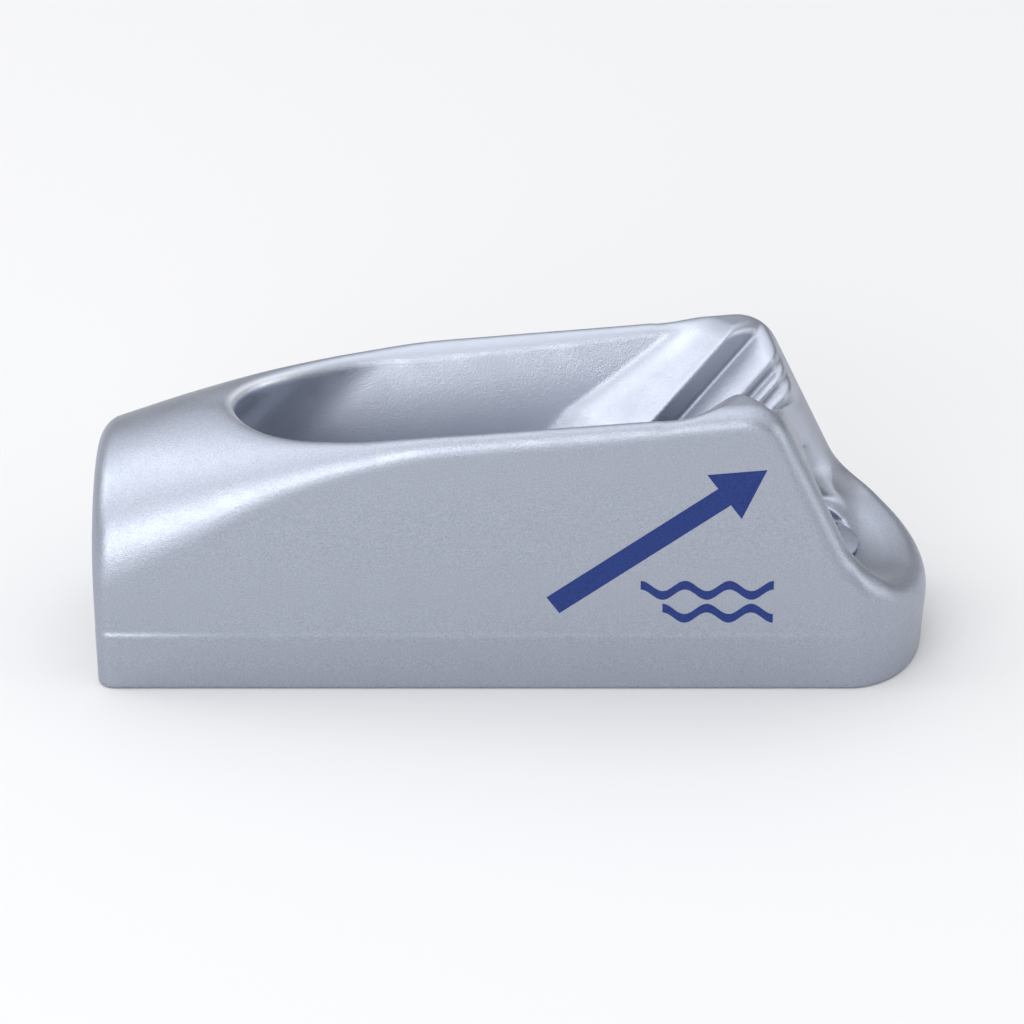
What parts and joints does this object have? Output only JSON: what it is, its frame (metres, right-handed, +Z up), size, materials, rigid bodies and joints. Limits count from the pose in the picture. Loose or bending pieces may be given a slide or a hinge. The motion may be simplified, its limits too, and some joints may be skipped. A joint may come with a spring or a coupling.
{
  "type": "jam cleat",
  "caption": "Small cast fixed-jaw rope cleat with a closed fairlead hoop, an open toothed V channel, a low rounded nose and countersunk screws in its base.",
  "frame": {"origin": "under the middle of the cleat, on the surface that it is screwed to", "axes": "+X along the rope from the fairlead hoop to the open nose, +Y across, +Z up out of the base"},
  "size_m": [0.065, 0.0192, 0.0239],
  "materials": {
    "casting": "satin silver, bead blasted",
    "screws": "stainless steel, plain"
  },
  "bodies": {
    "root": {"cleat_body": "casting", "front_screw": "screws", "rear_screw": "screws"}
  },
  "joints": []
}
